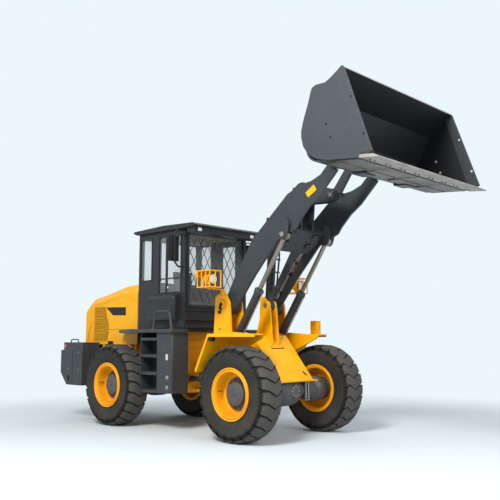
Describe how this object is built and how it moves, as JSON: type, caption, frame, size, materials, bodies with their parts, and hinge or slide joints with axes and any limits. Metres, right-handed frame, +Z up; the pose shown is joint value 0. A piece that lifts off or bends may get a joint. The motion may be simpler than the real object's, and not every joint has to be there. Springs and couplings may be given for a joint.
{
  "type": "wheel loader",
  "caption": "Articulated wheel loader with a hollow cab, engine hood, four lugged tyres and a wide bucket on hydraulic lift arms, shown raised.",
  "frame": {"origin": "on the ground under the middle of the machine's box", "axes": "+X forward, towards the bucket; +Y to the machine's left; +Z up"},
  "size_m": [7.39, 2.72, 4.786],
  "materials": {
    "axle_paint": "dusty grey paint",
    "bucket_paint": "worn bluish grey paint",
    "cab_paint": "satin dark grey paint",
    "dark_paint": "satin dark grey paint",
    "edge_steel": "bare worn steel",
    "frame_yellow": "gloss yellow paint, dusty low down",
    "glass": "tinted",
    "iron": "as cast, painted",
    "lamp_yellow": "gloss yellow paint",
    "pin_steel": "machined",
    "rim_yellow": "gloss yellow paint",
    "rod_chrome": "polished",
    "seat_fabric": "woven",
    "trim_plastic": "moulded",
    "tyre": "dusty tread rubber"
  },
  "bodies": {
    "rear": {"rear_frame": "frame_yellow", "counterweight": "dark_paint", "engine_block": "iron", "hood": "frame_yellow", "hood_grilles": "frame_yellow", "rear_axle": "axle_paint", "rear_driveshaft": "axle_paint", "side_platforms": "dark_paint", "side_tanks": "dark_paint", "steps": "dark_paint", "hand_rails": "dark_paint", "cab_frame": "cab_paint", "cab_glass": "glass", "cab_roof": "cab_paint", "windscreen_guard": "cab_paint", "side_locker": "cab_paint", "driver_seat": "seat_fabric", "steering_console": "trim_plastic", "mirrors": "trim_plastic"},
    "door": {"cab_door": "cab_paint", "door_glass": "glass"},
    "front": {"front_frame": "frame_yellow", "front_axle": "axle_paint", "front_driveshaft": "axle_paint", "frame_pins": "pin_steel", "front_fender_right": "frame_yellow", "front_fender_left": "frame_yellow", "headlamps": "lamp_yellow", "tilt_base_pin": "pin_steel"},
    "arms": {"lift_arms": "dark_paint"},
    "lift_barrels": {"lift_cylinder_barrels": "dark_paint"},
    "lift_rods": {"lift_cylinder_rods": "rod_chrome"},
    "bucket_carrier": {"bucket_pins": "pin_steel"},
    "bucket": {"bucket": "bucket_paint", "cutting_edge": "edge_steel"},
    "bell_carrier": {"bellcrank_pin": "pin_steel"},
    "bellcrank": {"bellcrank": "dark_paint"},
    "link_carrier": {"link_pin": "pin_steel"},
    "link": {"bucket_link": "dark_paint"},
    "tilt_barrel": {"tilt_cylinder_barrel": "dark_paint"},
    "tilt_rod": {"tilt_cylinder_rod": "rod_chrome"},
    "steer_barrel_right": {"steering_barrel_right": "dark_paint"},
    "steer_barrel_left": {"steering_barrel_left": "dark_paint"},
    "steer_rod_right": {"steering_rod_right": "rod_chrome"},
    "steer_rod_left": {"steering_rod_left": "rod_chrome"},
    "wheel_front_right": {"tyre_front_right": "tyre", "rim_front_right": "rim_yellow", "hub_front_right": "axle_paint"},
    "wheel_front_left": {"tyre_front_left": "tyre", "rim_front_left": "rim_yellow", "hub_front_left": "axle_paint"},
    "wheel_rear_right": {"tyre_rear_right": "tyre", "rim_rear_right": "rim_yellow", "hub_rear_right": "axle_paint"},
    "wheel_rear_left": {"tyre_rear_left": "tyre", "rim_rear_left": "rim_yellow", "hub_rear_left": "axle_paint"}
  },
  "joints": [
    {"name": "steering", "type": "hinge", "parent": "rear", "child": "front", "pos_m": [-0.495, 0, 0.8], "axis": [0, 0, 1], "range_deg": [-35, 35]},
    {"name": "lift", "type": "hinge", "parent": "front", "child": "arms", "pos_m": [0.345, 0, 1.97], "axis": [0, -1, 0], "range_deg": [-77, 0]},
    {"name": "bucket_hold", "type": "hinge", "parent": "arms", "child": "bucket_carrier", "pos_m": [2.44, 0, 3.875], "axis": [0, -1, 0], "range_deg": [-0.5, 77.5]},
    {"name": "tilt", "type": "hinge", "parent": "bucket_carrier", "child": "bucket", "pos_m": [2.44, 0, 3.875], "axis": [0, 1, 0], "range_deg": [-42, 44]},
    {"name": "bell_hold", "type": "hinge", "parent": "arms", "child": "bell_carrier", "pos_m": [1.465, 0, 3.62], "axis": [0, -1, 0], "range_deg": [-24.92, 0.5]},
    {"name": "bellcrank", "type": "hinge", "parent": "bell_carrier", "child": "bellcrank", "pos_m": [1.465, 0, 3.62], "axis": [0, -1, 0], "range_deg": [-6.64, 6.93]},
    {"name": "link_hold", "type": "hinge", "parent": "bellcrank", "child": "link_carrier", "pos_m": [2.034, 0, 3.51], "axis": [0, -1, 0], "range_deg": [-0.5, 28.55]},
    {"name": "link", "type": "hinge", "parent": "link_carrier", "child": "link", "pos_m": [2.034, 0, 3.51], "axis": [0, -1, 0], "range_deg": [-12.44, 11.89]},
    {"name": "tilt_barrel", "type": "hinge", "parent": "front", "child": "tilt_barrel", "pos_m": [0.715, 0, 1.96], "axis": [0, -1, 0], "range_deg": [-82.5, 0.5]},
    {"name": "tilt_rod", "type": "slide", "parent": "tilt_barrel", "child": "tilt_rod", "axis": [0.0754, 0, 0.9972], "range_m": [-0.0638, 0.0611]},
    {"name": "lift_barrels", "type": "hinge", "parent": "front", "child": "lift_barrels", "pos_m": [0.345, 0, 1.25], "axis": [0, -1, 0], "range_deg": [-64.66, 0.5]},
    {"name": "lift_rods", "type": "slide", "parent": "lift_barrels", "child": "lift_rods", "axis": [0.5583, 0, 0.8296], "range_m": [-0.8282, 0.004]},
    {"name": "steer_barrel_right", "type": "hinge", "parent": "rear", "child": "steer_barrel_right", "pos_m": [-0.755, -0.3, 0.8], "axis": [0, 0, 1], "range_deg": [-23.25, 23.25]},
    {"name": "steer_rod_right", "type": "slide", "parent": "steer_barrel_right", "child": "steer_rod_right", "axis": [1, 0, 0], "range_m": [-0.184, 0.184]},
    {"name": "steer_barrel_left", "type": "hinge", "parent": "rear", "child": "steer_barrel_left", "pos_m": [-0.755, 0.3, 0.8], "axis": [0, 0, 1], "range_deg": [-23.25, 23.25]},
    {"name": "steer_rod_left", "type": "slide", "parent": "steer_barrel_left", "child": "steer_rod_left", "axis": [1, 0, 0], "range_m": [-0.184, 0.184]},
    {"name": "door", "type": "hinge", "parent": "rear", "child": "door", "pos_m": [-1.1525, 0.706, 1.8], "axis": [0, 0, 1], "range_deg": [0, 95]},
    {"name": "wheel_front_right", "type": "hinge", "parent": "front", "child": "wheel_front_right", "pos_m": [1.005, -0.9325, 0.675], "axis": [0, 1, 0], "continuous": true},
    {"name": "wheel_front_left", "type": "hinge", "parent": "front", "child": "wheel_front_left", "pos_m": [1.005, 0.9325, 0.675], "axis": [0, 1, 0], "continuous": true},
    {"name": "wheel_rear_right", "type": "hinge", "parent": "rear", "child": "wheel_rear_right", "pos_m": [-1.995, -0.9325, 0.675], "axis": [0, 1, 0], "continuous": true},
    {"name": "wheel_rear_left", "type": "hinge", "parent": "rear", "child": "wheel_rear_left", "pos_m": [-1.995, 0.9325, 0.675], "axis": [0, 1, 0], "continuous": true}
  ],
  "couplings": [
    {"joint": "bucket_hold", "follows": "lift", "ratio": -1},
    {"joint": "bell_hold", "follows": "lift", "ratio": 0.3172},
    {"joint": "bellcrank", "follows": "tilt", "ratio": 0.1461},
    {"joint": "link_hold", "follows": "lift", "ratio": -0.3643},
    {"joint": "link", "follows": "tilt", "ratio": -0.2713},
    {"joint": "tilt_barrel", "follows": "lift", "ratio": 1.065},
    {"joint": "tilt_rod", "follows": "tilt", "m_per_rad": -0.0779},
    {"joint": "lift_barrels", "follows": "lift", "ratio": 0.8333},
    {"joint": "lift_rods", "follows": "lift", "m_per_rad": 0.6133},
    {"joint": "steer_barrel_right", "follows": "steering", "ratio": 0.65},
    {"joint": "steer_rod_right", "follows": "steering", "m_per_rad": 0.2947},
    {"joint": "steer_barrel_left", "follows": "steering", "ratio": 0.65},
    {"joint": "steer_rod_left", "follows": "steering", "m_per_rad": -0.2947}
  ]
}
